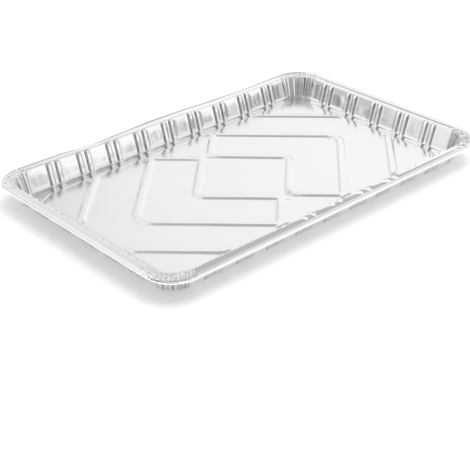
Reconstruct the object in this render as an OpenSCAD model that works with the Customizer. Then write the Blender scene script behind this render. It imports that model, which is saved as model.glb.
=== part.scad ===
// Shallow roasting pan pressed from one sheet of aluminium foil.
// Origin at the middle of the footprint, on the surface that the pan stands on, +Z up.
// Lengths in millimetres.

/* [Size] */
// Length over the rolled rim
length = 344; // [300:1:420]
// Width over the rolled rim
width = 224; // [200:1:300]
// Height from the table to the top of the rim
height = 20; // [16:0.5:40]
// Thickness of the sheet
sheet = 0.3; // [0.2:0.05:0.4]

/* [Rim] */
// Width of the rim, from its outer edge to the bend into the wall
rim_w = 7.9; // [7:0.1:12]
// Outer diameter of the rolled bead
bead_d = 3.2; // [2.8:0.1:4]
// How far the bead stands above the flat flange
bead_rise = 0.4; // [0.2:0.05:0.8]
// Angle that the foil is rolled past the outside of the bead
curl_angle = 180; // [120:5:200]
// Radius of the rim's outer corners
corner_r = 26; // [20:1:36]
// Radius of the corners of the opening, inside the flange
mouth_r = 23; // [18:0.5:30]
// Radius of the bend between flange and wall
bend_r = 1; // [0.8:0.1:2]

/* [Wall] */
// Slope of the wall, from the vertical
wall_angle = 16; // [8:1:24]
// Inside radius of the cove between wall and foot
cove_r = 3.8; // [3:0.1:6]
// Width of the flat foot that the pan stands on, between cove and step
foot_w = 3.3; // [2:0.1:12]

/* [Base] */
// Corner radius of the raised panel
panel_corner_r = 16; // [10:1:30]
// Height of the raised panel above the table
panel_rise = 2.6; // [1.8:0.1:4]
// Slope of the step up to the panel
step_angle = 30; // [25:1:36]
// Radius of the bend at the foot of the step
step_foot_r = 2; // [1:0.1:4]
// Radius of the bend over into the panel
step_top_r = 9; // [2:0.5:10]

/* [Wall ribs] */
// Width of a rib, half way up its flanks
rib_w = 4.4; // [3:0.1:6]
// Depth of a rib, measured from the wall
rib_depth = 1.6; // [0.8:0.1:2]
// Run of each flank of a rib
rib_flank = 1; // [0.4:0.1:2]
// Distance between the two ribs of a pair
rib_gap = 8.4; // [7.5:0.1:11]
// Distance between pairs along the long walls
pitch_long = 29.8; // [24:0.1:32]
// Distance between pairs along the short walls
pitch_short = 30.2; // [24:0.1:33]
// Pairs on each long wall
pairs_long = 9; // [3:2:9]
// Pairs on each short wall
pairs_short = 5; // [3:2:5]
// Plain wall left between the flange's bend and the top of a rib
rib_top = 0.6; // [0.2:0.1:3]

/* [Corner pleats] */
// Pleats in each corner of the wall
pleats = 10; // [6:1:11]
// Width of a pleat, half way up its flanks
pleat_w = 1.3; // [0.9:0.1:1.5]
// Depth of a pleat, measured from the wall
pleat_depth = 0.8; // [0.4:0.1:1]
// Run of each flank of a pleat
pleat_flank = 0.4; // [0.2:0.1:0.5]

/* [Base ridges] */
// Width of a ridge, half way up its flanks
ridge_w = 5.8; // [4:0.1:8]
// Height of a ridge above the panel
ridge_h = 1.1; // [0.6:0.1:1.6]
// Run of each flank of a ridge
ridge_flank = 1.8; // [0.8:0.1:3]
// Half diagonal of the diamond in the middle
diamond = 52.2; // [40:0.1:60]
// Radius at the two side corners of the diamond
diamond_r = 7; // [5:0.5:15]
// Distance from the middle to the point of each chevron
chevron = 113.7; // [90:0.1:118]
// Radius at the point of each chevron
chevron_r = 14; // [6:0.5:20]
// Sum of the distances at which a corner ridge would meet the two centre lines
corner_ridge = 173; // [150:1:190]

/* [Hidden] */
$fn = 96;
half = sheet / 2;
over = 2;

// middle line of the rolled rim, in a plane across it: x from the centre of the rim's corner
bead_r = bead_d / 2 - half;
bead_c = [corner_r - bead_d / 2, height - bead_d / 2];
neck_r = 1.2;
neck_turn = acos(1 - bead_rise / (bead_r + neck_r));
neck_c = bead_c + (bead_r + neck_r) * [-sin(neck_turn), cos(neck_turn)];
lip = 0.5;
lap = 0.25;
rim_x = neck_c[0] - lip;
flange_top = height - bead_rise;
flange_foot = flange_top - sheet;

// middle line of the wall: x from the centre of the opening's corner
mouth_l = length - 2 * rim_w;
mouth_w = width - 2 * rim_w;
bend_c = [mouth_r, flange_top - half - bend_r];
wall_top = bend_c + bend_r * [-cos(wall_angle), sin(wall_angle)];
cove_mid = cove_r + half;
wall_len = (wall_top[1] - half - cove_mid * (1 - sin(wall_angle))) / cos(wall_angle);
cove_c = [wall_top[0] - wall_len * sin(wall_angle) - cove_mid * cos(wall_angle), half + cove_mid];
foot_x = cove_c[0] - lip;

// each bend: centre, radius, first and last angle, +1 where the food side is outside the bend, steps
rim_bends = [
    [bead_c, bead_r, -curl_angle, 90 + neck_turn, 1, 18],
    [neck_c, neck_r, 270 + neck_turn, 270, -1, 3]
];
wall_bends = [
    [bend_c, bend_r, 90, 180 - wall_angle, 1, 5],
    [cove_c, cove_mid, -wall_angle, -90, -1, 7]
];

// the step between foot and panel: x from the centre of the panel's corner
foot_mid = step_foot_r + half;
top_mid = step_top_r + half;
step_top_c = [panel_corner_r, panel_rise + half - top_mid];
step_len = (panel_rise - (foot_mid + top_mid) * (1 - cos(step_angle))) / sin(step_angle);
step_run = (foot_mid + top_mid) * sin(step_angle) + step_len * cos(step_angle);
step_foot_c = [panel_corner_r + step_run, half + foot_mid];
step_bends = [
    [step_foot_c, foot_mid, 270, 270 - step_angle, -1, 4],
    [step_top_c, top_mid, 90 - step_angle, 90, 1, 6]
];

// the raised panel, as far inside the opening as the wall, the cove, the foot and the step reach
panel_inset = mouth_r - cove_c[0] + foot_w + step_run;
panel_l = mouth_l - 2 * panel_inset;
panel_w = mouth_w - 2 * panel_inset;

// points of one bend, on the food side (side = 1), the table side (-1) or the middle (0)
function bend_points(b, side) = [
    for (i = [0:b[5]])
        let (a = b[2] + (b[3] - b[2]) * i / b[5], r = b[1] + side * b[4] * half)
            b[0] + r * [cos(a), sin(a)]
];
function face_points(bends, side) = [for (b = bends) each bend_points(b, side)];
function reversed(points) = [for (i = [len(points) - 1:-1:0]) points[i]];

// section of a ridge: half widths at its foot and its crest
function ridge_section(w, h, flank) = [
    [-(w + flank) / 2, -half],
    [-(w + flank) / 2, 0],
    [-(w - flank) / 2, h],
    [(w - flank) / 2, h],
    [(w + flank) / 2, 0],
    [(w + flank) / 2, -half]
];
// section of the hollow under that ridge, one sheet thinner all round
function hollow_section(w, h, flank) =
    let (
        slope = flank / h,
        skin = sheet * sqrt(1 + slope * slope),
        foot = (w + flank) / 2 + sheet * slope - skin,
        crest = (w + flank) / 2 - (h - sheet) * slope - skin
    ) [
        [-foot, -sheet - over],
        [-foot, -sheet],
        [-crest, h - sheet],
        [crest, h - sheet],
        [foot, -sheet],
        [foot, -sheet - over]
    ];

// closed section of the rolled rim, with a lip that the flange's plate laps over
module rim_section() {
    polygon(concat(
        face_points(rim_bends, 1),
        [[rim_x, flange_top], [rim_x, flange_foot]],
        reversed(face_points(rim_bends, -1))
    ));
}

// closed section of the flange's inner edge, the wall and the cove
module wall_section() {
    polygon(concat(
        [[mouth_r + lip, flange_top]],
        face_points(wall_bends, 1),
        [[foot_x, sheet], [foot_x, 0]],
        reversed(face_points(wall_bends, -1)),
        [[mouth_r + lip, flange_foot]]
    ));
}

// everything on the food side of the wall's middle line
module wall_inside() {
    polygon(concat(
        [wall_top],
        bend_points(wall_bends[1], 0),
        [[foot_x, half], [foot_x, wall_top[1]]]
    ));
}

// closed section of the step up to the panel
module step_section() {
    polygon(concat(
        [[step_foot_c[0] + lip, sheet]],
        face_points(step_bends, 1),
        [[panel_corner_r - lip, panel_rise + sheet], [panel_corner_r - lip, panel_rise]],
        reversed(face_points(step_bends, -1)),
        [[step_foot_c[0] + lip, 0]]
    ));
}

// a rectangle l by w with corner radius r, made larger by grow on every side
module rounded_rect(l, w, r, grow = 0) {
    square([l - 2 * r, w + 2 * grow], center = true);
    square([l + 2 * grow, w - 2 * r], center = true);
    for (x = [-1, 1], y = [-1, 1])
        translate([x * (l / 2 - r), y * (w / 2 - r)])
            circle(r = r + grow);
}

// sweeps a section round a rectangle l by w, whose corners are turned about points r inside
module sweep(l, w, r) {
    for (k = [0:3])
        rotate(90 * k) {
            out = (k % 2 == 0 ? l : w) / 2 - r;
            side = (k % 2 == 0 ? w : l) / 2 - r;
            translate([out, 0, 0])
                rotate([90, 0, 0])
                    linear_extrude(2 * side, center = true)
                        children();
            translate([out, side, 0])
                rotate_extrude(angle = 90)
                    children();
        }
}

// a bar with the given section lying on the wall: top at the distance down from the wall's top
module wall_bar(down) {
    long = wall_len + cove_mid + over;
    translate([wall_top[0], 0, wall_top[1]])
        rotate([0, wall_angle, 0])
            translate([0, 0, -long])
                linear_extrude(long - down)
                    rotate(90)
                        children();
}

// pairs of ribs along the four walls
module along_walls() {
    for (k = [0:3])
        rotate(90 * k) {
            out = (k % 2 == 0 ? mouth_l : mouth_w) / 2 - mouth_r;
            pitch = k % 2 == 0 ? pitch_short : pitch_long;
            pairs = k % 2 == 0 ? pairs_short : pairs_long;
            for (i = [0:pairs - 1], j = [-1, 1])
                translate([out, (i - (pairs - 1) / 2) * pitch + j * rib_gap / 2, 0])
                    children();
        }
}

// pleats round the four corners
module round_corners() {
    for (x = [-1, 1], y = [-1, 1], i = [0:pleats - 1])
        translate([x * (mouth_l / 2 - mouth_r), y * (mouth_w / 2 - mouth_r), 0])
            rotate(atan2(y, x) - 45 + (i + 0.5) * 90 / pleats)
                children();
}

// a straight ridge from a to b, with the given section
module run(a, b) {
    translate(a)
        rotate([0, 0, atan2(b[1] - a[1], b[0] - a[0])])
            rotate([90, 0, 90])
                linear_extrude(norm(b - a))
                    children();
}

// a point on the +x side at distance c, rounded by r, whose arms run back to y = reach and -reach
module arrow(c, r, reach) {
    translate([c - r * sqrt(2), 0])
        rotate(-45)
            rotate_extrude(angle = 90)
                translate([r, 0])
                    children();
    for (q = [-1, 1])
        run([c - r / sqrt(2), q * r / sqrt(2)], [c - reach, q * reach])
            children();
}

// half of the given section turned about its middle
module round_end() {
    rotate_extrude()
        intersection() {
            children();
            translate([0, -height])
                square(2 * height);
        }
}

// the pattern of ridges on the panel
module pattern() {
    reach_x = panel_l / 2 + over;
    reach_y = panel_w / 2 + over;
    arm = diamond - ridge_w * sqrt(2);
    for (q = [-1, 1])
        translate([0, q * diamond])
            round_end()
                children();
    for (s = [0, 1])
        mirror([s, 0]) {
            arrow(diamond, diamond_r, diamond)
                children();
            arrow(chevron, chevron_r, reach_y)
                children();
            for (q = [-1, 1]) {
                run([(diamond - arm) / 2, q * (diamond + arm) / 2], [reach_y - arm, q * reach_y])
                    children();
                run([corner_ridge - reach_y, q * reach_y], [reach_x, q * (corner_ridge - reach_x)])
                    children();
            }
        }
}

// the plain pressed form: rim, flange, wall, foot, step and panel
module plain_form() {
    sweep(length, width, corner_r)
        rim_section();
    translate([0, 0, flange_foot])
        linear_extrude(sheet)
            difference() {
                rounded_rect(length, width, corner_r, rim_x + lap - corner_r);
                rounded_rect(mouth_l, mouth_w, mouth_r, lip - lap);
            }
    sweep(mouth_l, mouth_w, mouth_r)
        wall_section();
    linear_extrude(sheet)
        difference() {
            rounded_rect(mouth_l, mouth_w, mouth_r, foot_x + lap - mouth_r);
            rounded_rect(panel_l, panel_w, panel_corner_r, step_run + lip - lap);
        }
    sweep(panel_l, panel_w, panel_corner_r)
        step_section();
    translate([0, 0, panel_rise])
        linear_extrude(sheet)
            rounded_rect(panel_l, panel_w, panel_corner_r, lap - lip);
}

// ribs and pleats standing into the pan
module wall_ridges() {
    intersection() {
        union() {
            along_walls()
                wall_bar(rib_top)
                    polygon(ridge_section(rib_w, rib_depth + half, rib_flank));
            round_corners()
                wall_bar(rib_top)
                    polygon(ridge_section(pleat_w, pleat_depth + half, pleat_flank));
        }
        sweep(mouth_l, mouth_w, mouth_r)
            wall_inside();
    }
}

// the hollows behind them, open to the outside
module wall_hollows() {
    along_walls()
        wall_bar(rib_top + sheet)
            polygon(hollow_section(rib_w, rib_depth + half, rib_flank));
    round_corners()
        wall_bar(rib_top + sheet)
            polygon(hollow_section(pleat_w, pleat_depth + half, pleat_flank));
}

module base_ridges() {
    intersection() {
        translate([0, 0, panel_rise + sheet])
            pattern()
                polygon(ridge_section(ridge_w, ridge_h, ridge_flank));
        linear_extrude(height)
            rounded_rect(panel_l, panel_w, panel_corner_r);
    }
}

module base_hollows() {
    intersection() {
        translate([0, 0, panel_rise + sheet])
            pattern()
                polygon(hollow_section(ridge_w, ridge_h, ridge_flank));
        linear_extrude(height)
            rounded_rect(panel_l, panel_w, panel_corner_r, -sheet);
    }
}

module pan() {
    color("gainsboro")
        difference() {
            union() {
                plain_form();
                wall_ridges();
                base_ridges();
            }
            wall_hollows();
            base_hollows();
        }
}

pan();
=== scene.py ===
# Foil roasting pan: one pressed sheet, its foil, a pale floor and soft studio light
import math
import random

import bpy
import numpy as np
from mathutils import Matrix, Vector, noise
from mathutils.geometry import delaunay_2d_cdt


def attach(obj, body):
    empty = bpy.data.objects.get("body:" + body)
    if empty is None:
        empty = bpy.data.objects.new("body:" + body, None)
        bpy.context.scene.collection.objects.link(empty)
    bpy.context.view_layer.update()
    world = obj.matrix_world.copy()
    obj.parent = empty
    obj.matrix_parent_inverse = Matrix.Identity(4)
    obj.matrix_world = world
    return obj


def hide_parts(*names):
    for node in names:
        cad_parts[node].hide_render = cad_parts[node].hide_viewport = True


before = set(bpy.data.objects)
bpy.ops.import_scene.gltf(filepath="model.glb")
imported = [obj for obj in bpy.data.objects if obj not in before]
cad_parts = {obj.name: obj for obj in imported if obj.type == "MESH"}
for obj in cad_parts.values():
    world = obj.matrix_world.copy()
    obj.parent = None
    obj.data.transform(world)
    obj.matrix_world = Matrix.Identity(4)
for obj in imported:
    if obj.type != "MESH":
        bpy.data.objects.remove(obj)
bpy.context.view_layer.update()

ROOT2 = math.sqrt(2)
QUARTER = math.pi / 2

# The whole pan and its sheet, in millimetres like all shapes of the pan
MM = 0.001
LENGTH, WIDTH, HEIGHT = 344.0, 224.0, 20.0
SHEET = 0.18
HALF = SHEET / 2

# Rim, wall and cove
CORNER_R, MOUTH_R = 26.0, 23.0
RIM_W = 7.9
BEAD_R, BEAD_RISE = 1.6, 0.4
BEAD_START, BEAD_STEPS = math.radians(-215), 15
NECK_R, BEND_R, COVE_R = 1.0, 0.8, 3.6
WALL_ANGLE = math.radians(16)

# Base panel and the step up to it
PANEL_INSET, PANEL_CORNER_R, PANEL_RISE = 28.0, 16.0, 2.6
STEP_ANGLE = math.radians(30)
STEP_FOOT_R, STEP_TOP_R = 2.0, 9.0

# Ribs in pairs: their section, their places and how far they are off the middle of each side
RIB_DEPTH, RIB_FOOT, RIB_RUN, RIB_ROUND = 1.6, 2.6, 1.12, 0.18
RIB_GAP = 8.4
PITCH = {"short": 30.2, "long": 29.8}
PAIRS = {"short": 5, "long": 9}
RIB_SHIFT = {0: 1.6, 2: -1.8, 4: 0.0, 6: 0.0}
# Half width and fade of the fold over a rib's top
FOLD_FLAT, FOLD_RUN = 0.6, 3.0

# Pleats of the corners, and crimps and crumpled foil on the rim there
PLEATS, PLEAT_DEPTH = 10, 1.05
CRIMP_DEPTH, CRIMP_MARGIN = 0.2, 3.0
CRUMPLE_DEPTH, CRUMPLE_SIZE = 0.58, 1.5
# How far the crumple may run along the sides, in millimetres, and how it fades there, in degrees
CRUMPLE_REACH, CRUMPLE_FLAT, CRUMPLE_FADE = 9.0, 1.0, 15.0

# Ridges of the base: their section, and where each one's straight line meets an axis of the pan
RIDGE_W, RIDGE_H, RIDGE_FLANK = 5.8, 0.95, 2.4
DIAMOND, DIAMOND_R = 52.2, 7.0
CHEVRON, CHEVRON_R = 113.7, 14.0
ARM = DIAMOND - RIDGE_W * ROOT2
CORNER_RIDGE = 173.0
# How far ridges run past the panel's edge and fade inside it, and how they sink at the diamond's corners
RIDGE_LAP, RIDGE_END = 2.0, 3.0
TIP_FADE, TIP_LOW = 16.0, 0.1

# How far inside the rim's outer edge the centres of the corners lie
WALL_CORNER = RIM_W + MOUTH_R
PANEL_CORNER = PANEL_INSET + PANEL_CORNER_R
PANEL_X, PANEL_Y = LENGTH / 2 - PANEL_CORNER, WIDTH / 2 - PANEL_CORNER

# Layers of unevenness, each with its depth, the width of its waves and its seed
SHEET_WAVES = ((0.06, 26, 1), (0.018, 8, 2))
BASE_WAVES = ((0.35, 75, 3), (0.12, 30, 4))
CRUMPLE_SEED = 5
SEED_OFFSET = (7.3, -3.1, 1.7)

rng = random.Random(11)


def smooth(x):
    """0 below 0, 1 above 1, smooth between."""
    x = min(max(x, 0.0), 1.0)
    return x * x * (3 - 2 * x)


def smooth_array(x):
    """The same for an array."""
    x = np.clip(x, 0, 1)
    return x * x * (3 - 2 * x)


def hump(distance, flat, run):
    """1 within flat of the middle, falling smoothly to 0 over run."""
    return 1 - smooth((abs(distance) - flat) / run)


def rib_profile(distance):
    """1 on the rib's top, 0 beside it, with a straight flank between and rounded edges."""
    x = (RIB_FOOT - abs(distance)) / RIB_RUN
    r = RIB_ROUND
    if x <= -r or x >= 1 + r:
        return float(x > 0)
    if x < r:
        return (x + r) ** 2 / (4 * r)
    return x if x <= 1 - r else 1 - (1 + r - x) ** 2 / (4 * r)


def wave(x, y, z, size, seed):
    """Smooth noise between about -1 and 1, with features about size millimetres wide."""
    return noise.noise(Vector([v / size + seed * offset for v, offset in zip((x, y, z), SEED_OFFSET)]))


def waves(x, y, z, layers):
    """Sum of several layers of noise."""
    return sum(depth * wave(x, y, z, size, seed) for depth, size, seed in layers)


def arc_point(centre, radius, angle, side=1):
    """A point of an arc, and the sheet's normal there: away from the centre, or towards it for side -1."""
    out = (math.cos(angle), math.sin(angle))
    return centre[0] + radius * out[0], centre[1] + radius * out[1], (side * out[0], side * out[1])


# The sheet's section: rows from the bead's hidden end, over the rim, down the wall and up the step
class Row:
    """One line round the pan, x outside the rim's edge, with corners whose centres lie corner inside it.

    columns names its set of columns, and normal is the sheet's on the food side. The weights say how
    strongly ribs, pleats, crimps, the folds over the ribs, the base's waves, the rim's slack and the
    sheet's fine unevenness shape it.
    """

    rib = pleat = crimp = fold = warp = slack = 0.0
    fine = 1.0

    def __init__(self, columns, corner, x, z, normal, **weights):
        self.columns, self.x, self.z, self.normal = columns, x, z, normal
        self.radius = corner + x
        self.half_x, self.half_y = LENGTH / 2 - corner, WIDTH / 2 - corner
        for name, value in weights.items():
            setattr(self, name, value)


# Places in each part of the section, from 0 to 1, that the food side has rows at
FOOD_PLACES = {
    "neck": (0.45, 0.9),
    "flange": (0.1, 0.21, 0.32, 0.43, 0.54, 0.65, 0.76, 0.87, 0.97),
    "bend": (0.16, 0.34, 0.52, 0.7, 0.86, 1.0),
    "wall": (0.05, 0.11, 0.3, 0.52, 0.76),
    "cove": tuple(i / 8 for i in range(9)),
}
# Those of them that the table side has rows at too, and the same for the step's points by number
TABLE_PLACES = {
    "neck": (),
    "flange": (0.32, 0.87),
    "bend": (0.34, 0.7, 1.0),
    "wall": (0.11, 0.3, 0.76),
    "cove": (0.0, 0.25, 0.5, 0.75, 1.0),
}
TABLE_STEPS = (0, 2, 3, 5, 8)
# Weights of a row at place f of each part
WEIGHTS = {
    "bead": lambda f: dict(crimp=0.42, slack=1.0),
    "neck": lambda f: dict(crimp=0.4, slack=1.0),
    "flange": lambda f: dict(pleat=0.12 * f, fold=0.3 + 0.7 * smooth(f), crimp=1.0, slack=1.0),
    "bend": lambda f: dict(
        rib=0.3 * smooth((f - 0.3) / 0.7), pleat=0.12 + 0.5 * f,
        fold=1 - 0.8 * f, crimp=0.8 - 0.6 * f, slack=1.0),
    "wall": lambda f: dict(
        rib=0.3 + 0.7 * smooth(f / 0.07), pleat=0.62 + 0.38 * smooth(f / 0.3),
        fold=0.2 * (1 - smooth(f / 0.3)), slack=1 - f),
    "cove": lambda f: dict(
        rib=1 - smooth((f - 0.25) / 0.6), pleat=1 - smooth((f - 0.45) / 0.55), fine=1 - 0.8 * f),
    "step": lambda f: dict(warp=f, fine=0.2),
}


def bead_rows(centre, turn):
    """The outside of the rolled bead, from the flange's underside round to the neck."""
    first, last = BEAD_START, QUARTER + turn
    rows = []
    for i in range(BEAD_STEPS + 1):
        point = arc_point(centre, BEAD_R, first + (last - first) * i / BEAD_STEPS)
        rows.append(Row("rim", CORNER_R, *point, **WEIGHTS["bead"](0)))
    return rows


def rim_section():
    """The bead's centre, the neck's turn, and the middle line from the neck to the foot.

    Each point of the line has its part, its place there, x from the rim's edge, height and normal.
    """
    flange_z = HEIGHT - BEAD_RISE - HALF
    bead = (-BEAD_R, HEIGHT - BEAD_R)
    reach = BEAD_R + (NECK_R - HALF)
    turn = math.acos((reach - BEAD_RISE) / reach)
    neck = (bead[0] - reach * math.sin(turn), bead[1] + reach * math.cos(turn))
    bend = (-RIM_W, flange_z - BEND_R)
    lean, upright = math.sin(WALL_ANGLE), math.cos(WALL_ANGLE)

    def bend_point(f):
        return arc_point(bend, BEND_R, QUARTER + (QUARTER - WALL_ANGLE) * f)

    top_x, top_z, _ = bend_point(1.0)
    drop = (top_z - HALF - COVE_R * (1 - lean)) / upright
    cove = (top_x - drop * lean - COVE_R * upright, HALF + COVE_R)
    line = {
        "neck": lambda f: arc_point(neck, NECK_R, -QUARTER + turn * (1 - f), -1),
        "flange": lambda f: (neck[0] + (bend[0] - neck[0]) * f, flange_z, (0.0, 1.0)),
        "bend": bend_point,
        "wall": lambda f: (top_x - drop * f * lean, top_z - drop * f * upright, (-upright, lean)),
        "cove": lambda f: arc_point(cove, COVE_R, -WALL_ANGLE - (QUARTER - WALL_ANGLE) * f, -1),
    }
    return bead, turn, [(part, f, *line[part](f)) for part in line for f in FOOD_PLACES[part]]


def step_points():
    """Middle line of the step up to the panel: x from the panel's corner centres, height and normal."""
    reach = STEP_FOOT_R + STEP_TOP_R
    length = (PANEL_RISE - reach * (1 - math.cos(STEP_ANGLE))) / math.sin(STEP_ANGLE)
    run = reach * math.sin(STEP_ANGLE) + length * math.cos(STEP_ANGLE)
    foot = (PANEL_CORNER_R + run, HALF + STEP_FOOT_R)
    top = (PANEL_CORNER_R, PANEL_RISE + HALF - STEP_TOP_R)
    foot_arc = [arc_point(foot, STEP_FOOT_R, -QUARTER - STEP_ANGLE * f, -1) for f in (0.0, 0.5, 1.0)]
    top_arc = [arc_point(top, STEP_TOP_R, QUARTER - STEP_ANGLE * f) for f in (1.0, 0.8, 0.6, 0.4, 0.2, 0.0)]
    return foot_arc + top_arc


def corner_inset(part, f):
    """How far inside the rim's edge the corners' centres lie: they move inwards across the flange."""
    if part == "neck":
        return CORNER_R
    return CORNER_R + (WALL_CORNER - CORNER_R) * f if part == "flange" else WALL_CORNER


def sheet_rows():
    """All rows of the food side and of the table side, in order."""
    bead, turn, line = rim_section()
    upper, lower = bead_rows(bead, turn), []

    def add(both, columns, corner, x, z, normal, weights):
        """Adds a row of the food side and, where both is true, its fellow on the table side."""
        dx, dz = HALF * normal[0], HALF * normal[1]
        upper.append(Row(columns[0], corner, x + dx, z + dz, normal, **weights))
        if both:
            lower.append(Row(columns[1], corner, x - dx, z - dz, normal, **weights))

    for part, f, x, z, normal in line:
        columns = ("rim" if part == "neck" else "wall", "under")
        add(f in TABLE_PLACES[part], columns, corner_inset(part, f), x, z, normal, WEIGHTS[part](f))
    steps = step_points()
    for i, (x, z, normal) in enumerate(steps):
        weights = WEIGHTS["step"](i / (len(steps) - 1))
        add(i in TABLE_STEPS, ("step", "step"), PANEL_CORNER, x - PANEL_CORNER, z, normal, weights)
    return upper, lower


# Places along the sides and round the corners. Round the loop, a place q runs from 0 to 8: its whole part k
# is even on a side (0 right, 2 back, 4 left, 6 front) and odd in a corner
def rib_places(k):
    """Places of the ribs along side k, from its middle."""
    side = "short" if k % 4 == 0 else "long"
    middle = (PAIRS[side] - 1) / 2
    pairs = [(i - middle) * PITCH[side] for i in range(PAIRS[side])]
    return [pair + j * RIB_GAP + RIB_SHIFT[k] for pair in pairs for j in (-0.5, 0.5)]


RIBS = {k: rib_places(k) for k in (0, 2, 4, 6)}
# Columns of the rows: steps in a corner, the corners' inset, widest gap on a side and places beside a rib
COLUMNS = {
    "rim": dict(steps=120, inset=CORNER_R, gap=3.0, beside=()),
    "wall": dict(steps=120, inset=WALL_CORNER, gap=3.8, beside=(0.0, 1.05, 1.3, 1.6, 2.0, 2.35, 2.6, 2.9)),
    "under": dict(steps=60, inset=WALL_CORNER, gap=5.0, beside=(0.0, 1.3, 2.7)),
    "step": dict(steps=26, inset=PANEL_CORNER, gap=5.0, beside=()),
}
# The dented right wall has narrower gaps
DENTED_SIDE, DENTED_GAP = 0, 1.6
# Marks closer than this to the end of a side are left out
END_GAP = 0.3


def filled(marks, half, gap):
    """Sorted places from -half to half that hold all marks, with no gap wider than gap."""
    marks = sorted(m for m in marks if -half + END_GAP < m < half - END_GAP)
    marks = [-half] + marks + [half]
    out = []
    for a, b in zip(marks, marks[1:]):
        count = max(1, math.ceil((b - a) / gap))
        out += [a + (b - a) * i / count for i in range(count)]
    return out


def column_set(kind):
    """Places round the loop of a row's columns."""
    columns = COLUMNS[kind]
    out = []
    for k in range(8):
        if k % 2:
            out += [k + i / columns["steps"] for i in range(columns["steps"])]
            continue
        half = (WIDTH if k % 4 == 0 else LENGTH) / 2 - columns["inset"]
        offsets = [s * d for d in columns["beside"] for s in ((-1, 1) if d else (1,))]
        marks = [p + offset for p in RIBS[k] for offset in offsets]
        gap = DENTED_GAP if kind == "wall" and k == DENTED_SIDE else columns["gap"]
        out += [k + (a + half) / (2 * half) for a in filled(marks, half, gap)]
    return out


def frame_at(q, half_x, half_y):
    """Base point, direction outwards, and the place along the side or the angle in the corner."""
    k = int(q)
    t = q - k
    if k % 2 == 0:
        angle = math.pi / 4 * k
        out, half = (half_x, half_y) if k % 4 == 0 else (half_y, half_x)
        d = (math.cos(angle), math.sin(angle))
        a = (2 * t - 1) * half
        return (d[0] * out - d[1] * a, d[1] * out + d[0] * a), d, a
    sign = {1: (1, 1), 3: (-1, 1), 5: (-1, -1), 7: (1, -1)}[k]
    angle = QUARTER * ((k - 1) / 2 + t)
    return (sign[0] * half_x, sign[1] * half_y), (math.cos(angle), math.sin(angle)), 90 * t


# The slack of this one pan, by place round the loop
# How far the bead hangs below the level flange
BEAD_DROP = (
    (0.0, 0.2), (0.15, -0.2), (1.0, -0.3), (1.5, 0.5), (2.0, 0.9), (2.08, 1.4), (2.16, 1.9),
    (2.3, 1.3), (2.42, 0.1), (2.52, -0.3), (2.65, 0.8), (2.75, 2.0), (2.87, 0.0), (2.96, -0.3),
    (3.5, -0.4), (4.0, 0.1), (4.5, 0.25), (5.0, 0.4), (5.5, 1.4), (6.0, 1.7), (6.5, 1.5),
    (6.8, 1.2), (7.0, 1.1), (7.5, 0.5), (8.0, 0.2),
)
# How far the flange's inner edge and the top of the wall hang below their level
EDGE_DROP = (
    (0.0, 0.9), (1.0, 1.0), (1.5, 1.6), (2.0, 1.4), (2.12, 1.4), (2.3, 1.7), (2.43, 0.5), (2.55, 0.5),
    (2.72, 0.7), (2.85, 0.2), (2.96, -0.3), (3.5, -0.2), (4.2, -0.4), (4.9, -0.4), (5.3, 0.0),
    (7.0, 0.1), (7.5, 0.5), (8.0, 0.9),
)
# How far the wall's top leans in over the pan, or out where it is negative
EDGE_IN = (
    (0.0, -0.9), (0.2, -0.8), (0.45, 0.0), (2.0, 0.0), (2.3, 0.3), (2.5, 0.3), (2.8, 0.0), (3.0, 0.0),
    (6.55, 0.0), (6.78, -1.3), (7.0, -0.3), (8.0, -0.9),
)
# How far the flange bulges up between its edges
BULGE = (
    (0.0, -0.2), (0.2, -0.33), (1.0, -0.33), (1.6, 0.0), (4.0, 0.0), (5.2, 0.0), (6.0, 0.26),
    (7.0, 0.26), (7.6, 0.0), (8.0, -0.2),
)
# How deep each rib's top end folds into the flange
FOLD = (
    (0.0, 0.05), (6.3, 0.05), (6.36, 0.55), (6.43, 0.55), (6.47, 0.2), (6.53, 0.2), (6.57, 0.55),
    (6.75, 0.55), (6.79, 0.05), (8.0, 0.05),
)


def along(table, q):
    """Value at q of a table of places and values, with smooth joins."""
    for (q0, v0), (q1, v1) in zip(table, table[1:]):
        if q <= q1:
            return v0 + (v1 - v0) * smooth((q - q0) / (q1 - q0))
    return table[-1][1]


def rim_slack(row, q):
    """How far a row hangs down and leans in at a place of the loop."""
    out = max((row.x + RIM_W) / (RIM_W - BEAD_R), 0.0)
    bulge = 4 * along(BULGE, q) * max(out * (1 - out), 0.0)
    hang = along(EDGE_DROP, q) * (1 - out) + along(BEAD_DROP, q) * out - bulge
    return row.slack * hang, row.slack * along(EDGE_IN, q) * max(1 - out, 0.0)


# Pleats and crimps of each corner: angle, strength and half width, all in degrees but the strength
def drawn_pleats():
    """Evenly spread pleats, each a little off its place."""
    pleats = []
    for i in range(PLEATS):
        angle = (i + 0.5) * 90 / PLEATS + rng.uniform(-2.6, 2.6)
        pleats.append((angle, rng.uniform(0.45, 1.4), rng.uniform(1.5, 2.5)))
    return pleats


def drawn_crimps():
    """Crimps at uneven gaps, about one in three of them pressed the other way."""
    crimps, angle = [], -CRIMP_MARGIN
    while angle < 90 + CRIMP_MARGIN:
        strength = rng.uniform(0.6, 1.2) * rng.choice((1, 1, -0.7))
        crimps.append((angle, strength, rng.uniform(0.8, 1.4)))
        angle += rng.uniform(2.2, 3.8)
    return crimps


corner_pleats, corner_crimps = {}, {}
for corner in (1, 3, 5, 7):
    corner_pleats[corner] = drawn_pleats()
    corner_crimps[corner] = drawn_crimps()


def pleat_shape(corner, angle):
    """Height of a corner's pleats at an angle, each flat over a fifth of its half width."""
    return sum(s * hump(angle - a, 0.2 * w, 1.5 * w) for a, s, w in corner_pleats[corner])


def crimp_shape(corner, angle):
    """Height of a corner's crimps at an angle, without flat tops."""
    return sum(s * hump(angle - a, 0.0, 1.6 * w) for a, s, w in corner_crimps[corner])


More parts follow.
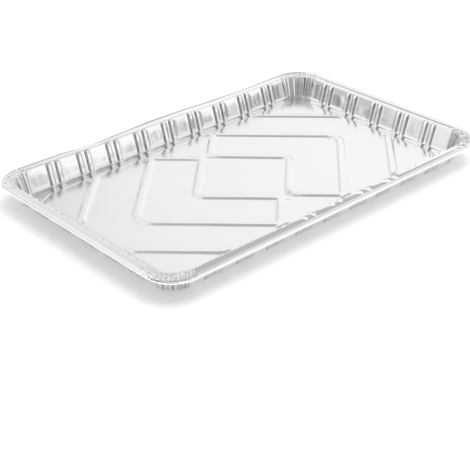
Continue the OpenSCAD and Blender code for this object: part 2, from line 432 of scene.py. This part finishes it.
# Round dents: place, radius and depth
DENTS = (
    ((161.5, 43.0, 8.0), 4.5, 0.8),
    ((161.5, 12.0, 11.0), 4.0, 0.15),
    ((104.0, 101.0, 8.0), 5.0, 0.15),
    ((161.5, -46.0, 9.0), 5.0, 0.12),
)
# A dent's reach, flat middle and fade, in radii, and how fast it waves up into the raised ring round it
DENT_REACH, DENT_FLAT, DENT_RUN, DENT_RING = 1.4, 0.1, 1.3, 4.2


def dent_depth(x, y, z):
    """How deep the dents press a point in."""
    total = 0.0
    for centre, radius, depth in DENTS:
        t = math.dist((x, y, z), centre) / radius
        if t < DENT_REACH:
            total += depth * math.cos(DENT_RING * t) * hump(t, DENT_FLAT, DENT_RUN)
    return total


def side_move(row, k, q, a):
    """How far ribs, folds and crimps move a point of side k, and how much of the crumple reaches it."""
    half = row.half_y if k % 4 == 0 else row.half_x
    move = crumple = 0.0
    if row.rib:
        move += RIB_DEPTH * row.rib * max(rib_profile(a - p) for p in RIBS[k])
    if row.fold:
        move -= along(FOLD, q) * row.fold * max(hump(a - p, FOLD_FLAT, FOLD_RUN) for p in RIBS[k])
    if row.crimp and abs(a) > half - CRUMPLE_REACH:
        past = math.degrees((half - abs(a)) / CORNER_R)
        corner, angle = ((k + 1) % 8, -past) if a > 0 else ((k - 1) % 8, 90 + past)
        crumple = hump(past, CRUMPLE_FLAT, CRUMPLE_FADE)
        move += CRIMP_DEPTH * row.crimp * crimp_shape(corner, angle) * crumple
    return move, crumple


def corner_move(row, k, angle):
    """How far pleats and crimps move a point of corner k."""
    return PLEAT_DEPTH * row.pleat * pleat_shape(k, angle) + CRIMP_DEPTH * row.crimp * crimp_shape(k, angle)


def place(row, q):
    """A vertex of the sheet, in millimetres."""
    base, d, a = frame_at(q, row.half_x, row.half_y)
    k = int(q)
    move, crumple = (corner_move(row, k, a), 1.0) if k % 2 else side_move(row, k, q, a)
    x, y = base[0] + row.radius * d[0], base[1] + row.radius * d[1]
    move += row.fine * waves(x, y, row.z, SHEET_WAVES)
    move += CRUMPLE_DEPTH * crumple * row.crimp * wave(x, y, row.z, CRUMPLE_SIZE, CRUMPLE_SEED)
    if row.columns in ("wall", "under"):
        move -= dent_depth(x, y, row.z)
    x += move * row.normal[0] * d[0]
    y += move * row.normal[0] * d[1]
    z = row.z + move * row.normal[1] + row.warp * waves(x, y, 0, BASE_WAVES)
    if row.slack:
        hang, lean = rim_slack(row, q)
        x, y, z = x - lean * d[0], y - lean * d[1], z - hang
    return x, y, z


# Painted shade, darker foil on the flanks of ribs and pleats, follows the slope of the forms, read over this
# reach to each side of a point, in millimetres beside a rib and in degrees in a corner, where it is scaled
# and limited
RIB_REACH, PLEAT_REACH = 0.1, 0.5
PLEAT_SHADE, PLEAT_SHADE_MOST = 1.3, 0.9


def painted_flank_shade(row, q):
    """Painted shade: 1 on a rib's flank, less on a pleat's, 0 elsewhere; the foil is darkened there in place
    of dark reflections.
    """
    k = int(q)
    a = frame_at(q, row.half_x, row.half_y)[2]
    if k % 2:
        if not row.pleat:
            return 0.0
        step = abs(pleat_shape(k, a + PLEAT_REACH) - pleat_shape(k, a - PLEAT_REACH))
        return min(PLEAT_SHADE * row.pleat * step, PLEAT_SHADE_MOST)
    if not row.rib:
        return 0.0
    near = min(abs(a - p) for p in RIBS[k])
    step = rib_profile(near - RIB_REACH) - rib_profile(near + RIB_REACH)
    return row.rib * step * RIB_RUN / (2 * RIB_REACH)


# The ridges of the base panel
def segment_distance(x, y, a, b):
    """Distance from the straight line between a and b."""
    ax, ay = a
    dx, dy = b[0] - ax, b[1] - ay
    t = np.clip(((x - ax) * dx + (y - ay) * dy) / (dx * dx + dy * dy), 0, 1)
    return np.hypot(x - ax - t * dx, y - ay - t * dy)


def arrow_distance(x, y, tip, radius, reach):
    """Distance from a ridge with its point at +x, rounded by radius, whose arms run back to reach."""
    edge = radius / ROOT2
    straight = segment_distance(x, y, (tip - edge, edge), (tip - reach, reach))
    centre = tip - radius * ROOT2
    inside = (y <= x - centre) & (x > centre)
    bend = np.where(inside, np.abs(np.hypot(x - centre, y) - radius), np.inf)
    return np.minimum(straight, bend)


def panel_edge_distance(px, py):
    """How far a point of the first quarter lies inside the panel's rounded edge."""
    dx, dy = px - PANEL_X, py - PANEL_Y
    corner = PANEL_CORNER_R - np.hypot(np.maximum(dx, 0), np.maximum(dy, 0))
    straight = np.minimum(PANEL_CORNER_R - dx, PANEL_CORNER_R - dy)
    return np.where((dx > 0) & (dy > 0), corner, straight)


def ridge_height(x, y):
    """Height of the ridges above the panel. They fade at the diamond's sharp corners and the panel's edge."""
    px, py = np.abs(x), np.abs(y)
    edge_x, edge_y = LENGTH / 2 - PANEL_INSET + RIDGE_LAP, WIDTH / 2 - PANEL_INSET + RIDGE_LAP
    arm_start = ((DIAMOND - ARM) / 2, (DIAMOND + ARM) / 2)
    distance = np.minimum.reduce([
        arrow_distance(px, py, DIAMOND, DIAMOND_R, DIAMOND),
        arrow_distance(px, py, CHEVRON, CHEVRON_R, edge_y),
        segment_distance(px, py, arm_start, (edge_y - ARM, edge_y)),
        segment_distance(px, py, (CORNER_RIDGE - edge_y, edge_y), (edge_x, CORNER_RIDGE - edge_x)),
    ])
    height = RIDGE_H * (1 - smooth_array((distance - (RIDGE_W - RIDGE_FLANK) / 2) / RIDGE_FLANK))
    height *= TIP_LOW + (1 - TIP_LOW) * smooth_array(np.hypot(px, py - DIAMOND) / TIP_FADE)
    return height * smooth_array(panel_edge_distance(px, py) / RIDGE_END)


# The panel's grid, along and across the ridges: lines beside each ridge and in the chevron's bend, widest gap
FOOD_GRID = dict(
    beside=(0.0, 1.0, 1.6, 2.1, 2.6, 3.1, 3.6, 4.2, 5.2), bend=(6.2, 7.2, 8.2, 9.2, 10.2), gap=4.4)
TABLE_GRID = dict(beside=(0.0, 1.8, 4.0), bend=(), gap=8.0)
# How far the grid's lines run, the narrowest gap between them, and the margin inside the panel's edge
GRID_REACH, GRID_GAP, GRID_MARGIN = 166.0, 0.34, 1.3
# Closer points than this are one point
SAME_POINT = 1e-5


def grid_lines(beside, bend, gap):
    """Places of the grid's lines, measured across the ridges from the pan's middle."""
    tips = (DIAMOND, ARM, CHEVRON, CORNER_RIDGE)
    marks = {tip / ROOT2 + side * offset for tip in tips for offset in beside for side in (-1, 1)}
    marks.update(CHEVRON / ROOT2 - offset for offset in bend)
    kept = []
    for m in sorted(marks):
        if not kept or m - kept[-1] > GRID_GAP:
            kept.append(m)
    return filled([-m for m in reversed(kept)] + kept, GRID_REACH, gap)


def panel_mesh(edge, grid):
    """Points inside the panel, and the faces that join them to its edge. The edge's points come first."""
    lines = np.array(grid_lines(**grid))
    u, v = np.meshgrid(lines, lines)
    x, y = (u + v).ravel() / ROOT2, (u - v).ravel() / ROOT2
    keep = panel_edge_distance(np.abs(x), np.abs(y)) > GRID_MARGIN
    x, y = x[keep], y[keep]
    points = [Vector(p) for p in edge] + [Vector(p) for p in zip(x, y)]
    count = len(edge)
    border = [(i, (i + 1) % count) for i in range(count)]
    result = delaunay_2d_cdt(points, border, [list(range(count))], 1, SAME_POINT)
    triangles, origins = result[2], result[3]
    return x, y, [[origins[i][0] for i in triangle] for triangle in triangles]


# One closed mesh of the whole sheet
LOOP_END, SAME_PLACE = 8.0, 1e-6


def strip(a, qa, b, qb):
    """Faces between the vertices a and b of two rows, whose places round the loop, qa and qb, may differ."""
    faces, i, j = [], 0, 0
    na, nb = len(a), len(b)
    qa, qb = list(qa) + [LOOP_END], list(qb) + [LOOP_END]
    while i < na or j < nb:
        next_a = qa[i + 1] if i < na else math.inf
        next_b = qb[j + 1] if j < nb else math.inf
        a0, b0 = a[i % na], b[j % nb]
        if abs(next_a - next_b) < SAME_PLACE:
            faces.append((a0, b0, b[(j + 1) % nb], a[(i + 1) % na]))
            i, j = i + 1, j + 1
        elif next_a < next_b:
            faces.append((a0, b0, a[(i + 1) % na]))
            i += 1
        else:
            faces.append((a0, b0, b[(j + 1) % nb]))
            j += 1
    return faces


def sheet_mesh():
    """Vertices, faces and painted flank shade of the closed sheet. Faces of its food side are turned over, to
    face up.
    """
    upper, lower = sheet_rows()
    sets = {kind: column_set(kind) for kind in COLUMNS}
    verts, faces, painted_flank_shades = [], [], []

    def add_faces(new, turned):
        faces.extend(tuple(reversed(face)) if turned else tuple(face) for face in new)

    def add_rows(rows, turned):
        out = []
        for row in rows:
            places = sets[row.columns]
            first = len(verts)
            verts.extend(place(row, q) for q in places)
            painted_flank_shades.extend(painted_flank_shade(row, q) for q in places)
            out.append((range(first, len(verts)), places))
        for a, b in zip(out, out[1:]):
            add_faces(strip(*a, *b), turned)
        return out

    def add_panel(ring, level, grid, turned):
        first = len(verts)
        x, y, triangles = panel_mesh([verts[i][:2] for i in ring], grid)
        for a, b, h in zip(x, y, ridge_height(x, y)):
            verts.append((a, b, level + h + waves(a, b, 0, BASE_WAVES)))
            painted_flank_shades.append(0.0)
        ids = list(ring) + list(range(first, len(verts)))
        add_faces([[ids[i] for i in triangle] for triangle in triangles], turned)

    top = add_rows(upper, turned=True)
    under = add_rows(lower, turned=False)
    add_faces(strip(*top[0], *under[0]), turned=False)
    add_panel(top[-1][0], PANEL_RISE + SHEET, FOOD_GRID, turned=False)
    add_panel(under[-1][0], PANEL_RISE, TABLE_GRID, turned=True)
    return verts, faces, painted_flank_shades


def add_object(name, data):
    """A new object of the scene."""
    obj = bpy.data.objects.new(name, data)
    bpy.context.scene.collection.objects.link(obj)
    return obj


verts, faces, painted_flank_shades = sheet_mesh()
mesh = bpy.data.meshes.new("foil_pan")
mesh.from_pydata([(x * MM, y * MM, z * MM) for x, y, z in verts], [], faces)
mesh.validate()
mesh.update()
mesh.polygons.foreach_set("use_smooth", [True] * len(mesh.polygons))
# Painted shade on the flanks of ribs and pleats, kept per vertex for the foil's colour
mesh.attributes.new("painted_flank_shade", "FLOAT", "POINT").data.foreach_set("value", painted_flank_shades)
pan = add_object("foil_pan", mesh)


# Materials
def connect(tree, node, inputs):
    """Sets a node's inputs, each to a value or to another node's output."""
    for name, value in inputs.items():
        if isinstance(value, bpy.types.NodeSocket):
            tree.links.new(value, node.inputs[name])
        else:
            node.inputs[name].default_value = value


def add_node(tree, kind, inputs, **settings):
    """Adds a shader node and gives its outputs."""
    node = tree.nodes.new("ShaderNode" + kind)
    for name, value in settings.items():
        setattr(node, name, value)
    connect(tree, node, inputs)
    return node.outputs


def add_ramp(tree, amount, stops):
    """A colour ramp over amount, through stops of a place and a colour."""
    node = tree.nodes.new("ShaderNodeValToRGB")
    connect(tree, node, {"Fac": amount})
    elements = node.color_ramp.elements
    while len(elements) < len(stops):
        elements.new(0.5)
    for element, (position, colour) in zip(elements, stops):
        element.position = position
        element.color = colour
    return node.outputs["Color"]


def multiplied(tree, share, colour, factor):
    """A colour, multiplied by factor where share is 1."""
    inputs = {"Factor": share, "A": colour, "B": factor}
    return add_node(tree, "Mix", inputs, data_type="RGBA", blend_type="MULTIPLY")["Result"]


def noise_texture(tree, vector, scale, detail):
    """Grey noise over a vector."""
    return add_node(tree, "TexNoise", {"Vector": vector, "Scale": scale, "Detail": detail})["Fac"]


def new_material(name):
    """A material, its node tree and its main shader."""
    material = bpy.data.materials.new(name)
    material.use_nodes = True
    tree = material.node_tree
    return material, tree, tree.nodes["Principled BSDF"]


# The foil's tint, and what of it the dull base and the painted shade on the flanks of ribs and pleats keep
TINTS = ((0.3, (0.96, 0.963, 0.965, 1)), (0.7, (0.985, 0.985, 0.985, 1)))
DULL = (0.968, 0.96, 0.965, 1)
PAINTED_SHADE_COLOUR = (0.4, 0.4, 0.4, 1)
# Between these heights, in millimetres, the dull base gives way to the walls that the press has burnished
BURNISHED = (3.6, 5.2)
# Roughness of the burnished foil, and how much rougher the dull base is
ROUGHNESS, DULL_ROUGHNESS = (0.05, 0.09), 0.09
# Rolling lines run along the pan: waves to the metre along, across and up
ROLLED = (30.0, 1400.0, 400.0)


def foil_material():
    """Rolled foil: duller on the base, with painted shade on the flanks of ribs and pleats, fine lines and
    soft wrinkles.
    """
    material, tree, shader = new_material("foil")
    where = add_node(tree, "TexCoord", {})["Object"]
    height = add_node(tree, "SeparateXYZ", {"Vector": where})["Z"]
    limits = {"From Min": BURNISHED[0] * MM, "From Max": BURNISHED[1] * MM, "To Min": 1.0, "To Max": 0.0}
    dull = add_node(tree, "MapRange", {"Value": height, **limits})["Result"]

    tint = noise_texture(tree, where, scale=18.0, detail=3.0)
    base_colour = multiplied(tree, dull, add_ramp(tree, tint, TINTS), DULL)
    # Painted shade: per-vertex mask of the rib and pleat flanks, where the foil's colour is darkened in place
    # of dark reflections
    painted_shade_mask = add_node(tree, "Attribute", {}, attribute_name="painted_flank_shade")["Fac"]

    limits = {"To Min": ROUGHNESS[0], "To Max": ROUGHNESS[1]}
    polished = add_node(tree, "MapRange", {"Value": tint, **limits})["Result"]
    inputs = {0: dull, 1: DULL_ROUGHNESS, 2: polished}
    roughness = add_node(tree, "Math", inputs, operation="MULTIPLY_ADD")["Value"]

    along_rolls = add_node(tree, "Mapping", {"Vector": where, "Scale": ROLLED})["Vector"]
    lines = noise_texture(tree, along_rolls, scale=1.0, detail=2.0)
    lined = add_node(tree, "Bump", {"Height": lines, "Strength": 0.05, "Distance": 0.0002})["Normal"]
    wrinkles = noise_texture(tree, where, scale=90.0, detail=4.0)
    bump = {"Height": wrinkles, "Strength": 0.16, "Distance": 0.0003, "Normal": lined}
    wrinkled = add_node(tree, "Bump", bump)["Normal"]

    connect(tree, shader, {
        "Metallic": 1.0,
        # Base colour with the painted shade of the flanks multiplied in
        "Base Color": multiplied(tree, painted_shade_mask, base_colour, PAINTED_SHADE_COLOUR),
        "Roughness": roughness,
        "Normal": wrinkled,
    })
    return material


pan.data.materials.append(foil_material())
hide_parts("pan")
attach(pan, "root")

# Floor, in metres: it lies just under the pan, so that the two don't meet
FLOOR_SIZE, FLOOR_Z = 40.0, -0.0002
FLOOR_LIFT = 0.2


def floor_material():
    """Pale floor that the camera and the reflections see a little brighter, shadows included."""
    material, tree, shader = new_material("floor")
    connect(tree, shader, {"Base Color": (0.9, 0.9, 0.9, 1), "Roughness": 0.8, "Specular IOR Level": 0.1})
    path = add_node(tree, "LightPath", {})
    inputs = {0: path["Is Camera Ray"], 1: path["Is Glossy Ray"]}
    seen = add_node(tree, "Math", inputs, operation="MAXIMUM")[0]
    lift = add_node(tree, "Math", {0: seen, 1: FLOOR_LIFT}, operation="MULTIPLY")[0]
    glow = add_node(tree, "Emission", {"Strength": lift})["Emission"]
    both = add_node(tree, "AddShader", {0: shader.outputs["BSDF"], 1: glow})["Shader"]
    connect(tree, tree.nodes["Material Output"], {"Surface": both})
    return material


half = FLOOR_SIZE / 2
floor_corners = [(-half, -half, 0), (half, -half, 0), (half, half, 0), (-half, half, 0)]
floor_mesh = bpy.data.meshes.new("floor")
floor_mesh.from_pydata(floor_corners, [], [(0, 1, 2, 3)])
floor = add_object("floor", floor_mesh)
floor.location = (0, 0, FLOOR_Z)
floor.data.materials.append(floor_material())

# The studio round the object: brightness by azimuth at the horizon, above it and high up, and at the top
NEAR_HORIZON = (
    (-180, 0.12), (-160, 0.1), (-92, 0.12), (-80, 0.6), (-73, 1.0), (14, 1.0), (22, 0.4), (38, 0.4),
    (46, 1.0), (72, 0.9), (100, 0.8), (132, 0.5), (144, 0.58), (147, 0.85), (160, 0.9), (172, 0.3),
    (180, 0.12),
)
LOW = (
    (-180, 0.1), (-171, 0.1), (-164, 0.8), (-151, 0.9), (-147, 0.66), (-144.6, 0.22), (-128, 0.35),
    (-124, 0.6), (-119, 0.8), (-100, 0.85), (-62, 0.75), (-46, 0.9), (-2, 0.92), (40, 1.0), (54, 0.93),
    (57, 0.86), (59, 0.78), (66, 0.78), (78, 0.8), (90, 0.72), (100, 0.6), (121, 0.6), (127, 0.88),
    (158, 0.92), (170, 0.85), (175, 0.1), (180, 0.1),
)
HIGH = (
    (-180, 0.4), (-150, 0.7), (-100, 0.7), (-60, 0.9), (-46, 0.92), (-26, 0.88), (-2, 0.88), (10, 0.5),
    (54, 0.5), (60, 0.75), (70, 0.75), (85, 0.9), (104, 1.0), (136, 1.0), (152, 0.6), (172, 0.35),
    (180, 0.4),
)
TOP = (0.44, 0.44, 0.44, 1)
# Angles of height between which each ring gives way to the next
HORIZON_EDGE, LOW_EDGE, HIGH_EDGE = (7, 10), (34, 39), (64, 66.5)
# The high ring's upper edge dips towards this azimuth
EDGE_LEAN, LEAN_AZIMUTH = 0.23, math.radians(-60)


def blend(tree, low, high, edge, height):
    """low below the edge's first angle of height, high above its second."""
    first, last = (math.sin(math.radians(angle)) for angle in edge)
    inputs = {"Value": height, "From Min": first, "From Max": last}
    share = add_node(tree, "MapRange", inputs, interpolation_type="SMOOTHSTEP")["Result"]
    return add_node(tree, "Mix", {"Factor": share, "A": low, "B": high}, data_type="RGBA")["Result"]


def studio_world():
    """Soft bright and dark areas that the foil mirrors."""
    world = bpy.data.worlds.new("studio")
    world.use_nodes = True
    tree = world.node_tree
    where = add_node(tree, "TexCoord", {})["Generated"]
    axes = add_node(tree, "SeparateXYZ", {"Vector": where})
    azimuth = add_node(tree, "Math", {0: axes["Y"], 1: axes["X"]}, operation="ARCTAN2")[0]
    limits = {"From Min": -math.pi, "From Max": math.pi}
    around = add_node(tree, "MapRange", {"Value": azimuth, **limits})["Result"]
    slope = (EDGE_LEAN * math.cos(LEAN_AZIMUTH), EDGE_LEAN * math.sin(LEAN_AZIMUTH), 1.0)
    leaning = add_node(tree, "VectorMath", {0: where, 1: slope}, operation="DOT_PRODUCT")["Value"]

    def ring(levels):
        """Brightness all round, from azimuths in degrees and grey levels."""
        return add_ramp(tree, around, [((a + 180) / 360, (level, level, level, 1)) for a, level in levels])

    lowest = blend(tree, ring(NEAR_HORIZON), ring(LOW), HORIZON_EDGE, axes["Z"])
    lower = blend(tree, lowest, ring(HIGH), LOW_EDGE, axes["Z"])
    bright = blend(tree, lower, TOP, HIGH_EDGE, leaning)
    connect(tree, tree.nodes["Background"], {"Color": bright})
    return world


bpy.context.scene.world = studio_world()

# A round lamp above the pan, in metres and watts, which lights the floor and isn't mirrored
LAMP_PLACE, LAMP_SIZE, LAMP_POWER = Vector((0.25, -0.1, 1.6)), 1.6, 14.0

lamp_data = bpy.data.lights.new("top_light", "AREA")
lamp_data.shape = "DISK"
lamp_data.size = LAMP_SIZE
lamp_data.energy = LAMP_POWER
lamp = add_object("top_light", lamp_data)
lamp.location = LAMP_PLACE
lamp.rotation_euler = (-LAMP_PLACE).to_track_quat("-Z", "Y").to_euler()
lamp.visible_glossy = False

# Camera, fitted to the photograph: its angles, its place back, right and up from the aim, and its lens
AZIMUTH, ELEVATION, ROLL = math.radians(-41.391), math.radians(29.674), math.radians(-1.088)
BACK, RIGHT, UP = 941.7, -7.79, -47.2
AIM = Vector((0, 0, 1.4))
LENS, SENSOR, CLIP_END = 87.7, 36.0, 100.0

level = math.cos(ELEVATION)
back = Vector((math.sin(AZIMUTH) * level, -math.cos(AZIMUTH) * level, math.sin(ELEVATION)))
right = Vector((math.cos(AZIMUTH), math.sin(AZIMUTH), 0))
up = back.cross(right)
right, up = right * math.cos(ROLL) + up * math.sin(ROLL), up * math.cos(ROLL) - right * math.sin(ROLL)
camera_data = bpy.data.cameras.new("camera")
camera_data.sensor_width = SENSOR
camera_data.lens = LENS
camera_data.clip_end = CLIP_END
camera = add_object("camera", camera_data)
spot = (back * BACK + right * RIGHT + up * UP + AIM) * MM
camera.matrix_world = Matrix.Translation(spot) @ Matrix((right, up, back)).transposed().to_4x4()
bpy.context.scene.camera = camera
bpy.context.scene.view_settings.view_transform = "Standard"
